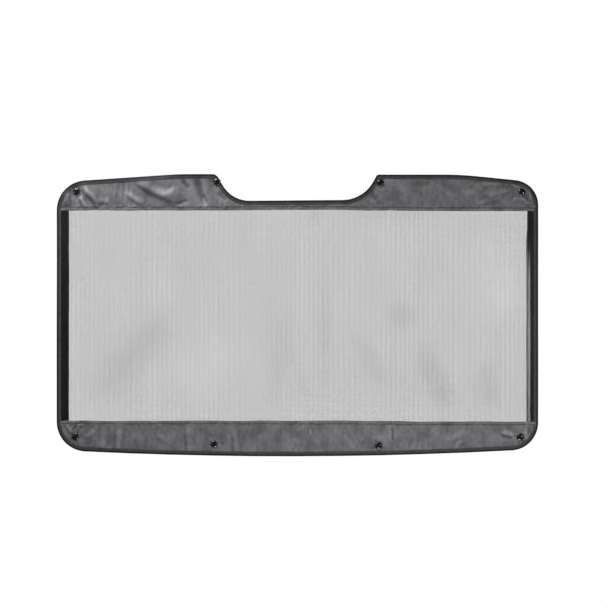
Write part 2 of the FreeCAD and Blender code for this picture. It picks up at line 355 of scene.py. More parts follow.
def mesh_object(name, points, faces, smooth=True, sharp_degrees=50):
    mesh = bpy.data.meshes.new(name)
    mesh.from_pydata(points.reshape(-1, 3).tolist(), [], faces.tolist())
    mesh.update()
    bm = bmesh.new()
    bm.from_mesh(mesh)
    bmesh.ops.recalc_face_normals(bm, faces=bm.faces)
    bm.to_mesh(mesh)
    bm.free()
    if smooth:
        mesh.polygons.foreach_set("use_smooth", [True] * len(mesh.polygons))
        mesh.set_sharp_from_angle(angle=math.radians(sharp_degrees))
    piece = bpy.data.objects.new(name, mesh)
    bpy.context.scene.collection.objects.link(piece)
    return piece


def grid_faces(rows, columns, wrap_rows=False, wrap_columns=False):
    """Quads of a grid of points, joined up at its ends where it wraps."""
    index = np.arange(rows * columns).reshape(rows, columns)
    if wrap_rows:
        index = np.vstack([index, index[:1]])
    if wrap_columns:
        index = np.hstack([index, index[:, :1]])
    corners = (index[:-1, :-1], index[:-1, 1:], index[1:, 1:], index[1:, :-1])
    return np.stack([corner.ravel() for corner in corners], axis=1)


def shell(name, outer, inner):
    """A closed sheet between two grids of points of the same shape."""
    rows, columns = outer.shape[:2]
    ring = np.concatenate([outer, inner[::-1]], axis=0)
    faces = grid_faces(2 * rows, columns, wrap_rows=True)
    index = np.arange(2 * rows * columns).reshape(2 * rows, columns)
    low = np.arange(rows - 1)
    caps = []
    for column in (0, columns - 1):
        side = index[:, column]
        corners = [side[low], side[low + 1], side[2 * rows - 2 - low], side[2 * rows - 1 - low]]
        caps.append(np.stack(corners, axis=1))
    return mesh_object(name, np.ascontiguousarray(ring), np.vstack([faces, *caps]))


def finished(piece, slot, material, *nodes):
    """Give a piece its material and its body, and hide the CAD nodes it stands for."""
    piece.data.materials.append(material)
    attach(piece, "root")
    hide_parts(*nodes)
    return piece


# ---------------------------------------------------------------- bands
def hem_line(x, top):
    """Height of a band's hemmed edge, which wanders by a millimetre or two along the window."""
    wander = 0.2 * MM * ripples(x, np.zeros_like(x), 61 if top else 62, 8, 30 * MM, 160 * MM)
    if top:
        lift = 1.5 * MM * np.exp(-((x / (130 * MM)) ** 2)) - 1.1 * MM * smoothstep(x, 170 * MM, 300 * MM)
        return window_top + wander + lift
    return window_bottom + wander - 1.9 * MM * smoothstep(x, 140 * MM, 260 * MM)


def strip_under(x, z):
    """From 0 to 1 where a side strip lies under a band's hem."""
    beyond = np.maximum(z - window_top, window_bottom - z)
    over_strip = smoothstep(np.abs(x), window_half - 1.2 * MM, window_half + 0.6 * MM)
    past_its_end = smoothstep(beyond, STRIP_UNDER - 1 * MM, STRIP_UNDER + 3 * MM)
    return over_strip * (1 - past_its_end)


def band_height(x, z, inset):
    """How far a band's outer face stands from the middle of the cloth, inset from its hemmed edge."""
    height = np.full_like(x, cloth_half)
    height += HEM_RAISE * (1 - smoothstep(inset, HEM_WIDTH, HEM_WIDTH + 2 * MM))
    height -= 0.35 * MM * (1 - smoothstep(inset, 0, hem_seam_inset))
    height -= 0.5 * MM * np.exp(-(((inset - hem_seam_inset) / (1.0 * MM)) ** 2))
    near_seam = np.exp(-np.abs(inset - hem_seam_inset) / (5 * MM))
    height += 0.4 * MM * near_seam * ripples(x, z, 11, 12, 7 * MM, 17 * MM, upright=1.5)
    height += 0.42 * MM * strip_under(x, z)
    roll = np.clip(inset / (1.1 * MM), 0, 1)
    floor = mesh_half + 0.02 * MM
    return floor + (height - floor) * np.sqrt(1 - (1 - roll) ** 2)


HEM_ROWS = [0, 0.1, 0.3, 0.6, 1.1, 2, 3.2, 4.4, 5.4, 6.1, 6.6, 7.1, 7.8, 9.0, 10.6, 12.5]


def band_grid(top):
    """Points across a band: columns along X, rows from its hemmed edge to the outline."""
    reach = half_width - TUCK - 1 * MM
    x = np.linspace(-reach, reach, int(2 * reach / BAND_STEP))
    room = band_room(x, top)
    hem = np.minimum(np.array(HEM_ROWS)[:, None] * MM, np.linspace(0.02, 0.6, len(HEM_ROWS))[:, None] * room)
    shares = np.linspace(0, 1, 32)[1:, None]
    inset = np.vstack([hem, hem[-1] + shares * (room - hem[-1])])
    edge = hem_line(x, top)
    z = edge + inset if top else edge - inset
    return np.broadcast_to(x, z.shape).copy(), z, inset


def cut_area(top):
    """Area of a band's flat cut: less than length by width, because of the notch and corners."""
    x = np.linspace(-half_width + TUCK, half_width - TUCK, 2000)
    return float(band_room(x, top).mean() * 2 * (half_width - TUCK))


def beside_seam(inset, seam_inset):
    """From 0 to 1 on a line of stitches, for both faces of a shell."""
    near = np.exp(-(((inset - seam_inset) / (1.1 * MM)) ** 2))
    return np.concatenate([near, near[::-1]])


def band(name, top, face):
    """One vinyl facing; face is -1 on the front and 1 on the back."""
    x, z, inset = band_grid(top)
    depth = drape(x, z)
    outer = np.stack([x, depth + face * band_height(x, z, inset), z], axis=2)
    lining = mesh_half + 0.02 * MM + STRIP_THICK * strip_under(x, z)
    inner = np.stack([x, depth + face * np.minimum(lining, band_height(x, z, inset) - 0.01 * MM), z], axis=2)
    piece = shell(name, outer, inner)
    note(piece, "fold_shade_and_wear", painted_fold_shade_and_wear(x, z, face))
    note(piece, "seam", beside_seam(inset, hem_seam_inset))
    return piece


# ---------------------------------------------------------------- side strips
STRIP_ROWS = [0, 0.1, 0.3, 0.6, 1.1, 1.9, 2.5, 3, 3.5, 4.1, 5, 6.5, 7.6, 8.4, 9.2, 10.4, 12, 14, 16.5, 19, 21]


def strip_height(inset, x, z):
    """How far a side strip's outer face stands from the middle of the cloth."""
    height = np.full_like(x, mesh_half + STRIP_THICK)
    height += 0.12 * MM * np.sin(np.clip(inset / (16 * MM), 0, 1) * math.pi)
    height -= 0.2 * MM * np.exp(-(((inset - strip_seam_inset) / (0.8 * MM)) ** 2))
    near_seam = np.exp(-np.abs(inset - strip_seam_inset) / (4 * MM))
    height += 0.05 * MM * near_seam * ripples(x, z, 17, 10, 7 * MM, 16 * MM, upright=0.3)
    roll = np.clip(inset / (0.8 * MM), 0, 1)
    floor = mesh_half + 0.01 * MM
    return floor + (height - floor) * np.sqrt(1 - (1 - roll) ** 2)


def strip_line(side, z):
    """How far a strip's window edge wanders outwards from its usual place."""
    lean = 2.0 * MM * smoothstep(z, 140 * MM, 200 * MM) if side > 0 else -0.5 * MM
    return lean + 0.12 * MM * ripples(z, np.zeros_like(z), 71 + side, 8, 25 * MM, 120 * MM)


def side_strip(name, side, face):
    """Side is -1 on the left and 1 on the right."""
    rows = np.array(STRIP_ROWS) * MM
    low = window_bottom - STRIP_UNDER
    high = window_top + STRIP_UNDER
    columns = int((high - low) / BAND_STEP)
    z = np.broadcast_to(np.linspace(low, high, columns), (len(rows), columns)).copy()
    inset = np.repeat(rows[:, None], columns, axis=1)
    x = side * (window_half + strip_line(side, z) + inset)
    depth = drape(x, z)
    height = strip_height(inset, x, z)
    outer = np.stack([x, depth + face * height, z], axis=2)
    inner = np.stack([x, depth + face * np.minimum(mesh_half + 0.01 * MM, height - 0.005 * MM), z], axis=2)
    piece = shell(name, outer, inner)
    note(piece, "fold_shade_and_wear", painted_fold_shade_and_wear(x, z, face))
    note(piece, "seam", beside_seam(inset, strip_seam_inset))
    return piece


# ---------------------------------------------------------------- the net
# Places where the net's coating is heavier or lighter, which makes it look darker or paler
# against a white ground: the line each follows, its reach in mm, and its share of the thread.
NET_SHADES = [
    (((-450, -200), (-347, -80), (-252, 5)), 42, 0.17),
    (((-130, -10), (-250, -190)), 50, -0.08),
    (((54, 130), (60, -215)), 17, 0.08),
    (((-20, 30), (-54, -205)), 18, 0.10),
    (((-24, -30), (24, -200)), 11, 0.10),
    (((12, 150), (-4, -60), (6, -190)), 8, -0.06),
    (((180, 10), (256, -10)), 22, 0.14),
    (((116, -36), (204, -170)), 20, 0.12),
    (((250, -50), (300, -150), (326, -205)), 27, 0.19),
    (((398, -80), (412, -200)), 22, 0.16),
    (((16, 216), (58, 206)), 18, 0.13),
    (((60, 212), (310, 216)), 24, 0.06),
    (((400, 200), (440, -30)), 62, -0.08),
]


def thread_swell(x, z):
    """How thick a thread's coating is at each place, as a share of its usual thickness."""
    swell = 1 + 0.009 * ripples(x, z, 51, 9, 40 * MM, 160 * MM, upright=3)
    for line, reach, share in NET_SHADES:
        swell -= share / MM * fold(x, z, line, 1, reach, reach)
    return swell


def thread_bars(lines, across):
    """Four-sided threads. lines is (threads, points, 3); across is the axis of their width."""
    threads, points = lines.shape[:2]
    uneven = 1 + 0.02 * np.random.default_rng(across).standard_normal((threads, 1))
    swell = (uneven * thread_swell(lines[..., 0], lines[..., 2]))[..., None]
    side = np.zeros(3)
    side[across] = NET_THREAD / 2
    side = side * swell
    lift = np.array([0, NET_DEPTH / 2, 0]) * swell
    ring = np.stack([lines - side, lines - lift, lines + side, lines + lift], axis=2)
    index = np.arange(threads * points * 4).reshape(threads, points, 4)
    walls = [quads_between(index[:, :-1], index[:, 1:], corner) for corner in range(4)]
    ends = np.concatenate([index[:, 0], index[:, -1]])
    return ring.reshape(-1, 3), np.vstack([*walls, ends])


def quads_between(here, there, corner):
    """One wall of quads between neighbouring rings of corners, from a corner to the next."""
    after = (corner + 1) % here.shape[-1]
    wall = [here[..., corner], here[..., after], there[..., after], there[..., corner]]
    return np.stack(wall, axis=-1).reshape(-1, 4)


def net():
    """The open mesh: two crossing sets of coated threads, tucked in behind the bands and strips."""
    left, right = -window_half - NET_TUCK, window_half + NET_TUCK
    low, high = window_bottom - NET_TUCK, window_top + NET_TUCK
    random = np.random.default_rng(21)
    start = np.arange(left + NET_PITCH_ACROSS / 2, right, NET_PITCH_ACROSS)
    bunching = NET_BUNCHING * np.sin(2 * math.pi * start / NET_STREAK + 2 * np.sin(start / (37 * MM)))
    start = start + bunching + 0.04 * MM * random.standard_normal(len(start))
    x, z = np.broadcast_arrays(start[:, None], np.linspace(low, high, 20)[None, :])
    x = x + 0.3 * MM * ripples(x, z, 31, 6, 90 * MM, 400 * MM)
    upright = np.stack([x, drape(x, z) - NET_DEPTH / 4, z], axis=2)
    start = np.arange(low + NET_PITCH_UP / 2, high, NET_PITCH_UP)
    start = start + 0.04 * MM * random.standard_normal(len(start))
    z, x = np.broadcast_arrays(start[:, None], np.linspace(left, right, 44)[None, :])
    z = z + 0.4 * MM * ripples(x, z, 37, 6, 120 * MM, 500 * MM)
    level = np.stack([x, drape(x, z) + NET_DEPTH / 4, z], axis=2)
    upright_points, upright_faces = thread_bars(upright, 0)
    level_points, level_faces = thread_bars(level, 2)
    points = np.vstack([upright_points, level_points])
    faces = np.vstack([upright_faces, level_faces + len(upright_points)])
    return mesh_object("window_net", points, faces, smooth=False)


# ---------------------------------------------------------------- binding
# Half of the folded tape's section: (distance in from the edge, height from the middle of the cloth), in mm.
TAPE_SECTION = [
    (9.3, 0.93), (9.3, 1.25), (9.05, 1.55), (8.5, 1.7), (7.8, 1.62), (7.3, 1.42), (6.8, 1.62), (5.9, 1.82),
    (4.5, 1.93), (3.0, 1.95), (1.7, 1.85), (0.8, 1.55), (0.25, 1.0), (0.0, 0.35),
]

# The inner wall of the fold, as (distance in from the edge, height, face), in mm.
TAPE_LINING = [(8.9, 0.91, 1), (1.1, 0.91, 1), (1.1, 0.91, -1), (8.9, 0.91, -1)]
TAPE_SEAM_HEIGHT = 1.42 * MM    # the section's height at its seam


def tape_height(inset, run, bend, x, z):
    """Unevenness of the folded tape: drawn in at each stitch and gathered where it goes round a bend."""
    leg = smoothstep(inset, 0.5 * MM, 2.5 * MM)
    near_seam = np.exp(-(((inset - binding_seam_inset) / (2.2 * MM)) ** 2))
    stitch = 0.10 * MM * near_seam * np.cos(2 * math.pi * run / STITCH_PITCH)
    gather = np.clip(bend * 45 * MM, 0, 1)
    gathers = gather * 0.32 * MM * leg * np.sin(2 * math.pi * run / (6.3 * MM) + 1.5 * np.sin(run / (9 * MM)))
    waves = 0.10 * MM * leg * ripples(x, z, 41, 14, 14 * MM, 60 * MM)
    return stitch + gathers + waves


def tape_joint(run):
    """Extra thickness where the tape's end laps over its start, near the middle of the bottom edge."""
    bottom = np.argmin(np.hypot(outline.points[:, 0] + 30 * MM, outline.points[:, 1] - cad_low.z))
    past = run - outline.run[bottom]
    return 0.55 * MM * smoothstep(past, 0, 0.8 * MM) * (1 - smoothstep(past, 14 * MM, 20 * MM))


def pressed(x, z):
    """From 0 to 1 where a snap's cap presses the tape down."""
    share = np.zeros_like(x)
    for place in SNAP_PLACES:
        if snap_seats[place] < binding_half - 1e-5:
            away = np.hypot(x - snap_centres[place].x, z - snap_centres[place].z)
            share = np.maximum(share, 1 - smoothstep(away, cap_radius, cap_radius + 2.5 * MM))
    return share


def tape_surface(inset, height, face):
    """Points of one line of the tape's section all the way round. face is -1 front, 1 back."""
    place = outline.inset(inset)
    x, z = place[:, 0], place[:, 1]
    lift = tape_height(np.full_like(x, inset), outline.run, outline.bend, x, z) + tape_joint(outline.run)
    rise = height + lift * smoothstep(height, 0.9 * MM, 1.3 * MM)
    seat = np.minimum(rise, cloth_half - 0.05 * MM)
    rise = rise + (seat - rise) * pressed(x, z)
    return np.stack([x, drape(x, z) + face * rise, z], axis=1)


def edge_binding():
    front = [tape_surface(inset * MM, height * MM, -1) for inset, height in TAPE_SECTION]
    back = [tape_surface(inset * MM, height * MM, 1) for inset, height in reversed(TAPE_SECTION)]
    inside = [tape_surface(inset * MM, height * MM, face) for inset, height, face in TAPE_LINING]
    grid = np.stack(front + back + inside)
    rows, columns = grid.shape[:2]
    piece = mesh_object("binding_tape", grid, grid_faces(rows, columns, wrap_rows=True, wrap_columns=True))
    section_run = np.concatenate([[0], np.cumsum(np.linalg.norm(np.diff(grid[:, 0], axis=0), axis=1))])
    section_place = np.broadcast_to(section_run[:, None], (rows, columns)).ravel()
    edge_place = np.broadcast_to(outline.run, (rows, columns)).ravel()
    insets = [inset * MM for inset, _ in TAPE_SECTION]
    inset_place = np.repeat(insets + insets[::-1] + [inset * MM for inset, _, _ in TAPE_LINING], columns)
    note(piece, "tape_run", edge_place)
    note(piece, "tape_across", section_place)
    note(piece, "tape_inset", inset_place)
    return piece


# ---------------------------------------------------------------- stitching
def stitch_row(name, path, face):
    """Separate stitches along a line of surface points; each dips into the cloth at its ends."""
    step = np.linalg.norm(np.diff(path, axis=0), axis=1)
    run = np.concatenate([[0], np.cumsum(step)])
    count = int(run[-1] / STITCH_PITCH)
    centres = (np.arange(count) + 0.5) * run[-1] / count
    share = np.array([-1.0, -0.86, -0.5, 0.0, 0.5, 0.86, 1.0])
    half = (STITCH_PITCH - STITCH_GAP) / 2
    at = centres[:, None] + share * half
    middle_line = np.stack([np.interp(at, run, path[:, axis]) for axis in range(3)], axis=2)
    ahead = np.stack([np.interp(at + 0.2 * MM, run, path[:, axis]) for axis in range(3)], axis=2)
    behind = np.stack([np.interp(at - 0.2 * MM, run, path[:, axis]) for axis in range(3)], axis=2)
    along = ahead - behind
    along /= np.linalg.norm(along, axis=2)[..., None]
    out = np.array([0, face, 0.0])
    sideways = np.cross(along, out)
    sideways /= np.linalg.norm(sideways, axis=2)[..., None]
    sink = STITCH_RADIUS * (0.1 + 1.5 * share**2)
    middle_line = middle_line - out * sink[None, :, None]
    slant = np.where(np.arange(count) % 2 == 0, 1, -1)[:, None] * share * 0.09 * MM
    middle_line = middle_line + sideways * slant[..., None]
    radius = STITCH_RADIUS * np.sqrt(np.clip(1.02 - share**4, 0.02, 1))
    sides = 6
    angles = np.arange(sides) * 2 * math.pi / sides
    spread = np.cos(angles)[None, None, :, None] * sideways[:, :, None, :]
    spread = spread + np.sin(angles)[None, None, :, None] * out
    rings = middle_line[:, :, None, :] + spread * radius[None, :, None, None]
    index = np.arange(count * len(share) * sides).reshape(count, len(share), sides)
    walls = [quads_between(index[:, :-1], index[:, 1:], corner) for corner in range(sides)]
    ends = np.concatenate([index[:, 0], index[:, -1]])
    halves = [ends[:, [0, 1, 2, 3]], ends[:, [0, 3, 4, 5]]]
    return mesh_object(name, rings.reshape(-1, 3), np.vstack(walls + halves))


def hem_path(top, face):
    reach = half_width - binding_cover - 0.5 * MM
    x = np.arange(-reach, reach, 0.5 * MM)
    z = hem_line(x, top) + (hem_seam_inset if top else -hem_seam_inset)
    inset = np.full_like(x, hem_seam_inset)
    return np.stack([x, drape(x, z) + face * band_height(x, z, inset), z], axis=1)


def strip_path(side, face):
    z = np.arange(window_bottom + 1 * MM, window_top - 1 * MM, 0.5 * MM)
    x = side * (window_half + strip_line(side, z) + strip_seam_inset)
    inset = np.full_like(z, strip_seam_inset)
    return np.stack([x, drape(x, z) + face * strip_height(inset, x, z), z], axis=1)


def binding_path(face):
    path = tape_surface(binding_seam_inset, TAPE_SEAM_HEIGHT, face)
    return np.vstack([path, path[:1]])


# ---------------------------------------------------------------- snap fasteners
def turned(name, profile, centre, sides=56, share=1.0):
    """Turn a closed profile of (radius, depth) points about the Y direction through a centre."""
    profile = np.array(profile)
    count = sides if share == 1.0 else int(sides * share) + 1
    angles = np.arange(count) * 2 * math.pi * share / (count if share == 1.0 else count - 1)
    radius = profile[:, 0][:, None]
    x = centre.x + radius * np.cos(angles)
    y = np.broadcast_to(profile[:, 1][:, None], x.shape)
    z = centre.z + radius * np.sin(angles)
    points = np.stack([x, y, z], axis=2)
    faces = grid_faces(len(profile), count, wrap_rows=True, wrap_columns=share == 1.0)
    return mesh_object(name, points, faces, sharp_degrees=60)


def round_points(centre, radius, start, end, count=7):
    """Points round an arc, with its angles in degrees from outwards towards +Y."""
    angles = np.radians(np.linspace(start, end, count))
    return [(centre[0] + radius * math.cos(angle), centre[1] + radius * math.sin(angle)) for angle in angles]


def snap_cap(place):
    """Domed cap with a rolled rim in front; its hollow post runs through the cloth and curls at the back."""
    low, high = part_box("snap_cap_" + place)
    seat = snap_seats[place]
    rim = 0.5 * MM
    dome_radius = cap_radius - 0.6 * rim
    dome_foot = -seat - 1.3 * rim
    height = dome_foot - low.y
    rise = np.linspace(0, 0.94, 16) * math.pi / 2
    dome_x = dome_radius * np.sin(rise) + 1e-5
    dome_y = dome_foot - height * np.cos(rise) ** 1.15
    dome = list(zip(dome_x, dome_y))
    bead = round_points((cap_radius - rim, -seat - rim), rim, -80, 90)
    curl = (high.y - seat) * 0.5
    shank = [(POST_RADIUS, -seat), (POST_RADIUS, high.y - curl)]
    rolled = round_points((POST_RADIUS + 0.3 * MM, high.y - curl / 2), curl / 2, -90, 90)
    bore_end = 0.2 * MM - seat
    inside = [(POST_BORE_RADIUS, high.y), (POST_BORE_RADIUS, bore_end), (1e-5, bore_end)]
    return turned("cap_" + place, dome + bead + shank + rolled + inside, snap_centres[place])


def snap_socket(place):
    """Pressed cup behind the cloth, with a rolled mouth."""
    low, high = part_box("snap_socket_" + place)
    outer = (high.x - low.x) / 2
    wall = SOCKET_WALL
    mouth = SOCKET_MOUTH_RADIUS
    roll = 0.8 * MM
    profile = [(POST_RADIUS, low.y), (outer - 0.3 * MM, low.y)]
    profile += round_points((outer - 0.3 * MM, low.y + 0.3 * MM), 0.3 * MM, -90, 0, 4)
    profile += [(outer - 0.15 * MM, low.y + 1.2 * MM)]
    profile += round_points((outer - roll - 0.1 * MM, high.y - roll), roll, 0, 90)
    profile += round_points((mouth + wall / 2 + 0.1 * MM, high.y - wall / 2), wall / 2, 90, 180, 5)
    profile += [(mouth, high.y - 1.2 * MM), (mouth + wall, high.y - 1.2 * MM), (mouth + wall, high.y - wall)]
    floor_y = low.y + SOCKET_BASE
    profile += [(outer - wall, high.y - wall), (outer - wall, floor_y), (POST_RADIUS, floor_y)]
    return turned("socket_" + place, profile, snap_centres[place])


def snap_spring(place):
    """The socket's split wire ring."""
    low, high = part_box("snap_spring_" + place)
    wire = (high.y - low.y) / 2
    ring = max(high.x - snap_centres[place].x, high.z - snap_centres[place].z) - wire
    profile = round_points((ring, low.y + wire), wire, 0, 324, 10)
    return turned("spring_" + place, profile, snap_centres[place], sides=72, share=11 / 12)


# ---------------------------------------------------------------- materials
def new_material(name):
    material = bpy.data.materials.new(name)
    material.use_nodes = True
    tree = material.node_tree
    shader = tree.nodes["Principled BSDF"]
    return material, tree, shader


def node(tree, kind, **settings):
    made = tree.nodes.new(kind)
    for key, value in settings.items():
        if key in made.inputs:
            made.inputs[key].default_value = value
        else:
            setattr(made, key, value)
    return made


def object_place(tree, stretch=(1, 1, 1)):
    """Object coordinates in millimetres."""
    place = tree.nodes.new("ShaderNodeTexCoord")
    scale = tree.nodes.new("ShaderNodeMapping")
    scale.inputs["Scale"].default_value = [value / MM for value in stretch]
    tree.links.new(place.outputs["Object"], scale.inputs["Vector"])
    return scale.outputs["Vector"]


def noise(tree, place, scale, detail=2.0, roughness=0.5):
    made = node(tree, "ShaderNodeTexNoise", Scale=scale, Detail=detail, Roughness=roughness)
    tree.links.new(place, made.inputs["Vector"])
    return made.outputs["Fac"]


def ramp(tree, value, stops):
    made = tree.nodes.new("ShaderNodeValToRGB")
    elements = made.color_ramp.elements
    while len(elements) < len(stops):
        elements.new(0.5)
    for element, (position, colour) in zip(elements, stops):
        element.position = position
        element.color = (*colour, 1) if len(colour) == 3 else colour
    tree.links.new(value, made.inputs["Fac"])
    return made.outputs["Color"]


def math_node(tree, operation, first, second=0.0):
    made = tree.nodes.new("ShaderNodeMath")
    made.operation = operation
    for slot, value in enumerate((first, second)):
        if isinstance(value, (int, float)):
            made.inputs[slot].default_value = value
        else:
            tree.links.new(value, made.inputs[slot])
    return made.outputs["Value"]


def map_range(tree, value, low, high):
    made = tree.nodes.new("ShaderNodeMapRange")
    made.inputs["To Min"].default_value = low
    made.inputs["To Max"].default_value = high
    tree.links.new(value, made.inputs["Value"])
    return made.outputs["Result"]


def bump(tree, shader, height, distance, strength=1.0, below=None):
    made = node(tree, "ShaderNodeBump", Strength=strength, Distance=distance)
    tree.links.new(height, made.inputs["Height"])
    if below is not None:
        tree.links.new(below, made.inputs["Normal"])
    tree.links.new(made.outputs["Normal"], shader.inputs["Normal"])
    return made.outputs["Normal"]


def weave_height(tree, place, pitch):
    """A plain weave's height in X and Z, from crossing waves of that pitch in millimetres."""
    parts = tree.nodes.new("ShaderNodeSeparateXYZ")
    tree.links.new(place, parts.inputs["Vector"])
    turn = 2 * math.pi / pitch
    across = math_node(tree, "SINE", math_node(tree, "MULTIPLY", parts.outputs["X"], turn))
    up = math_node(tree, "SINE", math_node(tree, "MULTIPLY", parts.outputs["Z"], turn))
    return math_node(tree, "MULTIPLY", across, up)


def mixed(tree, mode, share, first, second):
    """Two colours mixed by a socket or number."""
    made = tree.nodes.new("ShaderNodeMix")
    made.data_type = "RGBA"
    made.blend_type = mode
    for socket, value in ((made.inputs[0], share), (made.inputs[6], first), (made.inputs[7], second)):
        if isinstance(value, (int, float, tuple)):
            socket.default_value = value
        else:
            tree.links.new(value, socket)
    return made.outputs[2]


def vinyl(name, dark, light, low_rough, high_rough, sheen, gloss):
    """Vinyl-coated cloth: a weave that shows faintly through the coating, mottled and slightly shiny, with
    painted shade in folds' hollows and along its seams, and painted light and wear on folds' crests.
    """
    material, tree, shader = new_material(name)
    place = object_place(tree)
    mottle = noise(tree, place, 0.03, detail=5.0, roughness=0.62)
    coating = ramp(tree, mottle, [(0.36, dark), (0.64, light)])
    specks = ramp(tree, noise(tree, place, 0.35, detail=3.0), [(0.35, (0.86, 0.86, 0.86)), (0.65, (1, 1, 1))])
    speckled = mixed(tree, "MULTIPLY", 1.0, coating, specks)
    seam = node(tree, "ShaderNodeAttribute", attribute_name="seam").outputs["Fac"]
    fold_shade_and_wear = node(tree, "ShaderNodeAttribute", attribute_name="fold_shade_and_wear").outputs["Fac"]
    # Painted shade and light: the colour falls to half in folds' hollows and rises to 1.2 times on their
    # crests, the crests partly as wear.
    wear = ramp(tree, fold_shade_and_wear, [(0.0, (0.5, 0.5, 0.5)), (0.5, (0.96, 0.96, 0.96)), (1.0, (1.2, 1.2, 1.2))])
    fold_shaded_and_worn = mixed(tree, "MULTIPLY", 1.0, speckled, wear)
    # Painted shade: the colour is darkened unevenly towards 0.28 of itself along each line of stitches, in
    # the seam's groove.
    seam_shade_amount = math_node(tree, "MULTIPLY", seam, map_range(tree, noise(tree, place, 0.07), -0.8, 2.4))
    seam_painted_shade = mixed(tree, "MULTIPLY", seam_shade_amount, fold_shaded_and_worn, (0.28, 0.28, 0.28, 1))
    tree.links.new(seam_painted_shade, shader.inputs["Base Color"])
    grain = noise(tree, place, 0.9, detail=3.0)
    tree.links.new(map_range(tree, grain, low_rough, high_rough), shader.inputs["Roughness"])
    shader.inputs["Specular IOR Level"].default_value = gloss
    shader.inputs["Sheen Weight"].default_value = sheen
    shader.inputs["Sheen Roughness"].default_value = 0.4
    weave = bump(tree, shader, weave_height(tree, place, 1.1), 0.03 * MM, strength=0.6)
    bump(tree, shader, grain, 0.05 * MM, strength=0.5, below=weave)
    return material


def tape_cloth():
    """Woven binding tape: fine ribs across its length, with painted shade towards its rounded outer edge."""
    material, tree, shader = new_material("binding_tape_cloth")
    run = node(tree, "ShaderNodeAttribute", attribute_name="tape_run").outputs["Fac"]
    across = node(tree, "ShaderNodeAttribute", attribute_name="tape_across").outputs["Fac"]
    ribs = math_node(tree, "SINE", math_node(tree, "MULTIPLY", run, 2 * math.pi / (0.9 * MM)))
    threads = math_node(tree, "SINE", math_node(tree, "MULTIPLY", across, 2 * math.pi / (0.7 * MM)))
    cloth = math_node(tree, "ADD", ribs, math_node(tree, "MULTIPLY", threads, 0.35))
    place = object_place(tree)
    wear = noise(tree, place, 0.12, detail=5.0, roughness=0.65)
    inset = node(tree, "ShaderNodeAttribute", attribute_name="tape_inset").outputs["Fac"]
    cloth_colour = ramp(tree, wear, [(0.3, (0.046, 0.046, 0.048)), (0.72, (0.082, 0.082, 0.086))])
    # Painted shade: the tape's colour falls to 0.08 of itself towards its rounded outer edge.
    edge_share = math_node(tree, "MULTIPLY", inset, 1 / (6 * MM))
    painted_edge_shade = ramp(tree, edge_share, [(0.38, (0.08, 0.08, 0.08)), (0.9, (1, 1, 1))])
    tree.links.new(mixed(tree, "MULTIPLY", 1.0, cloth_colour, painted_edge_shade), shader.inputs["Base Color"])
    tree.links.new(map_range(tree, wear, 0.5, 0.75), shader.inputs["Roughness"])
    shader.inputs["Specular IOR Level"].default_value = 0.2
    shader.inputs["Sheen Weight"].default_value = 0.02
    bump(tree, shader, cloth, 0.06 * MM, strength=0.7)
    return material


def net_thread_material():
    """Vinyl-coated mesh thread."""
    material, tree, shader = new_material("coated_net_thread")
    place = object_place(tree)
    shade = noise(tree, place, 0.02, detail=3.0)
    colour = ramp(tree, shade, [(0.35, (0.020, 0.020, 0.021)), (0.65, (0.036, 0.036, 0.038))])
    tree.links.new(colour, shader.inputs["Base Color"])
    tree.links.new(map_range(tree, noise(tree, place, 1.3), 0.4, 0.6), shader.inputs["Roughness"])
    bump(tree, shader, noise(tree, place, 2.2), 0.05 * MM, strength=0.5)
    return material


def sewing_thread_material():
    """Twisted polyester thread."""
    material, tree, shader = new_material("sewing_thread")
    place = object_place(tree)
    twist = tree.nodes.new("ShaderNodeTexWave")
    twist.bands_direction = "DIAGONAL"
    twist.inputs["Scale"].default_value = 1.1
    twist.inputs["Distortion"].default_value = 1.5
    tree.links.new(place, twist.inputs["Vector"])
    colour = ramp(tree, twist.outputs["Fac"], [(0.2, (0.008, 0.008, 0.009)), (0.9, (0.026, 0.026, 0.028))])
    tree.links.new(colour, shader.inputs["Base Color"])
    tree.links.new(map_range(tree, twist.outputs["Fac"], 0.65, 0.45), shader.inputs["Roughness"])
    shader.inputs["Sheen Weight"].default_value = 0.3
    bump(tree, shader, twist.outputs["Fac"], 0.08 * MM, strength=0.8)
    return material


def enamel():
    """Glossy black enamel over a pressed brass cap, with faint orange peel and rubbed spots."""
    material, tree, shader = new_material("snap_enamel")
    place = object_place(tree)
    rub = noise(tree, place, 0.8, detail=6.0, roughness=0.7)
    colour = ramp(tree, rub, [(0.4, (0.006, 0.006, 0.007)), (0.8, (0.016, 0.016, 0.017))])
    tree.links.new(colour, shader.inputs["Base Color"])
    tree.links.new(map_range(tree, rub, 0.16, 0.3), shader.inputs["Roughness"])
    shader.inputs["Specular IOR Level"].default_value = 0.45
    shader.inputs["Coat Weight"].default_value = 0.2
    shader.inputs["Coat Roughness"].default_value = 0.1
    shader.inputs["Coat IOR"].default_value = 1.7
    bump(tree, shader, noise(tree, place, 1.6), 0.02 * MM, strength=0.3)
    return material


def plated(name, dark, light, low_rough, high_rough):
    """Plated or bright metal with fine tool marks and tarnish."""
    material, tree, shader = new_material(name)
    place = object_place(tree)
    tarnish = noise(tree, place, 0.5, detail=5.0, roughness=0.7)
    tree.links.new(ramp(tree, tarnish, [(0.35, dark), (0.7, light)]), shader.inputs["Base Color"])
    tree.links.new(map_range(tree, tarnish, low_rough, high_rough), shader.inputs["Roughness"])
    shader.inputs["Metallic"].default_value = 1.0
    bump(tree, shader, noise(tree, object_place(tree, (6, 0.6, 6)), 1.0, detail=3.0), 0.01 * MM, strength=0.4)
    return material


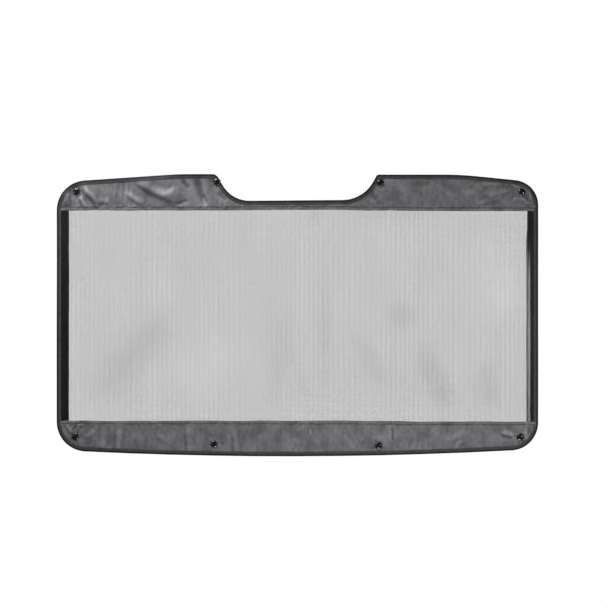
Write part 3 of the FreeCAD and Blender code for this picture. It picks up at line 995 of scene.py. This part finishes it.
def floor_material():
    material, tree, shader = new_material("studio_floor")
    place = object_place(tree)
    colour = ramp(tree, noise(tree, place, 0.002), [(0.3, (0.86, 0.86, 0.86)), (0.7, (0.9, 0.9, 0.9))])
    tree.links.new(colour, shader.inputs["Base Color"])
    shader.inputs["Roughness"].default_value = 0.9
    return material


# ---------------------------------------------------------------- build the piece list
charcoal = vinyl("charcoal_vinyl", dark=(0.128, 0.125, 0.134), light=(0.226, 0.221, 0.237),
                 low_rough=0.38, high_rough=0.55, sheen=0.1, gloss=0.5)
black = vinyl("black_vinyl", dark=(0.006, 0.006, 0.007), light=(0.012, 0.012, 0.014),
              low_rough=0.24, high_rough=0.34, sheen=0.0, gloss=0.8)
thread = sewing_thread_material()
tape = tape_cloth()

for face_name, face in (("front", -1), ("back", 1)):
    for edge_name, top in (("top", True), ("bottom", False)):
        piece = band(edge_name + "_vinyl_" + face_name, top, face)
        finished(piece, "vinyl", charcoal, edge_name + "_band_" + face_name)
        cut_area(top)
        seam = stitch_row(edge_name + "_hem_stitches_" + face_name, hem_path(top, face), face)
        finished(seam, "thread", thread, "hem_thread_" + edge_name + "_" + face_name)
    for side_name, side in (("left", -1), ("right", 1)):
        piece = side_strip(side_name + "_strip_" + face_name, side, face)
        finished(piece, "strip", black, "side_strip_" + side_name + "_" + face_name)
        seam = stitch_row(side_name + "_strip_stitches_" + face_name, strip_path(side, face), face)
        finished(seam, "thread", thread, "strip_thread_" + side_name + "_" + face_name)
    seam = stitch_row("binding_stitches_" + face_name, binding_path(face), face)
    finished(seam, "thread", thread, "binding_thread_" + face_name)

mesh_sheet = net()
finished(mesh_sheet, "mesh", net_thread_material(), "mesh_panel")
binding = edge_binding()
finished(binding, "binding", tape, "edge_binding")

cap_material = enamel()
socket_material = plated("nickel_plate", (0.42, 0.40, 0.37), (0.62, 0.60, 0.56), 0.22, 0.38)
spring_material = plated("spring_steel", (0.5, 0.5, 0.5), (0.66, 0.66, 0.66), 0.2, 0.32)
for place in SNAP_PLACES:
    finished(snap_cap(place), "snap_cap", cap_material, "snap_cap_" + place)
    finished(snap_socket(place), "snap_socket", socket_material, "snap_socket_" + place)
    finished(snap_spring(place), "snap_spring", spring_material, "snap_spring_" + place)

# ---------------------------------------------------------------- floor, light and camera
FLOOR_DROP = 1.5
FLOOR_RADIUS = 1.5
VIEW_WIDTH = 1.283      # what the picture spans at the panel
VIEW_DISTANCE = 6.0
AIM_RIGHT = 0.0138      # the camera looks at a place this far right of the panel's middle
AIM_UP = 0.0237
centre = (cad_low + cad_high) / 2


def floor():
    place = (0, 0, centre.z - FLOOR_DROP)
    bpy.ops.mesh.primitive_circle_add(vertices=96, radius=FLOOR_RADIUS, fill_type="NGON", location=place)
    piece = bpy.context.object
    piece.name = "studio_floor"
    piece.data.materials.append(floor_material())


def softbox(name, place, size, power, aim=(0, 0, 0)):
    light = bpy.data.lights.new(name, "AREA")
    light.shape = "RECTANGLE"
    light.size, light.size_y = size
    light.energy = power
    made = bpy.data.objects.new(name, light)
    made.location = place
    made.rotation_euler = (Vector(aim) - Vector(place)).to_track_quat("-Z", "Y").to_euler()
    bpy.context.scene.collection.objects.link(made)


def world():
    """White behind everything the camera sees; a dimmer room, brighter above, lights the object."""
    made = bpy.data.worlds.new("studio")
    bpy.context.scene.world = made
    made.use_nodes = True
    tree = made.node_tree
    output = tree.nodes["World Output"]
    seen = tree.nodes["Background"]
    seen.inputs["Color"].default_value = (1, 1, 1, 1)
    seen.inputs["Strength"].default_value = 1.0
    place = tree.nodes.new("ShaderNodeTexCoord")
    parts = tree.nodes.new("ShaderNodeSeparateXYZ")
    tree.links.new(place.outputs["Generated"], parts.inputs["Vector"])
    height = tree.nodes.new("ShaderNodeMapRange")
    height.inputs["From Min"].default_value = -0.6
    height.inputs["From Max"].default_value = 0.9
    height.inputs["To Min"].default_value = 0.02
    height.inputs["To Max"].default_value = 0.08
    tree.links.new(parts.outputs["Z"], height.inputs["Value"])
    room = tree.nodes.new("ShaderNodeBackground")
    tree.links.new(height.outputs["Result"], room.inputs["Strength"])
    rays = tree.nodes.new("ShaderNodeLightPath")
    mix = tree.nodes.new("ShaderNodeMixShader")
    tree.links.new(rays.outputs["Is Camera Ray"], mix.inputs["Fac"])
    tree.links.new(room.outputs["Background"], mix.inputs[1])
    tree.links.new(seen.outputs["Background"], mix.inputs[2])
    tree.links.new(mix.outputs["Shader"], output.inputs["Surface"])


def camera():
    data = bpy.data.cameras.new("camera")
    made = bpy.data.objects.new("camera", data)
    bpy.context.scene.collection.objects.link(made)
    data.sensor_width = 36.0
    data.lens = data.sensor_width * VIEW_DISTANCE / VIEW_WIDTH
    data.clip_end = 100
    aim = Vector((centre.x + AIM_RIGHT, 0, centre.z + AIM_UP))
    made.location = aim - Vector((0, VIEW_DISTANCE, 0))
    made.rotation_euler = (math.radians(90), 0, 0)
    bpy.context.scene.camera = made


floor()
world()
softbox("key", place=(-0.58, -0.35, 1.0), size=(0.8, 0.5), power=16.5, aim=(-0.24, 0, 0.1))
softbox("low", place=(0.24, -0.5, -1.0), size=(0.5, 0.4), power=6.2, aim=(0.1, 0, -0.1))
softbox("left_strip", place=(-1.2, -0.9, 0.1), size=(0.1, 0.3), power=2.4)
softbox("right_strip", place=(1.1, -0.95, -0.08), size=(0.09, 0.45), power=4.3)
softbox("back", place=(0.8, 1.5, 1.1), size=(0.9, 0.9), power=26)
camera()
bpy.context.scene.view_settings.view_transform = "Standard"
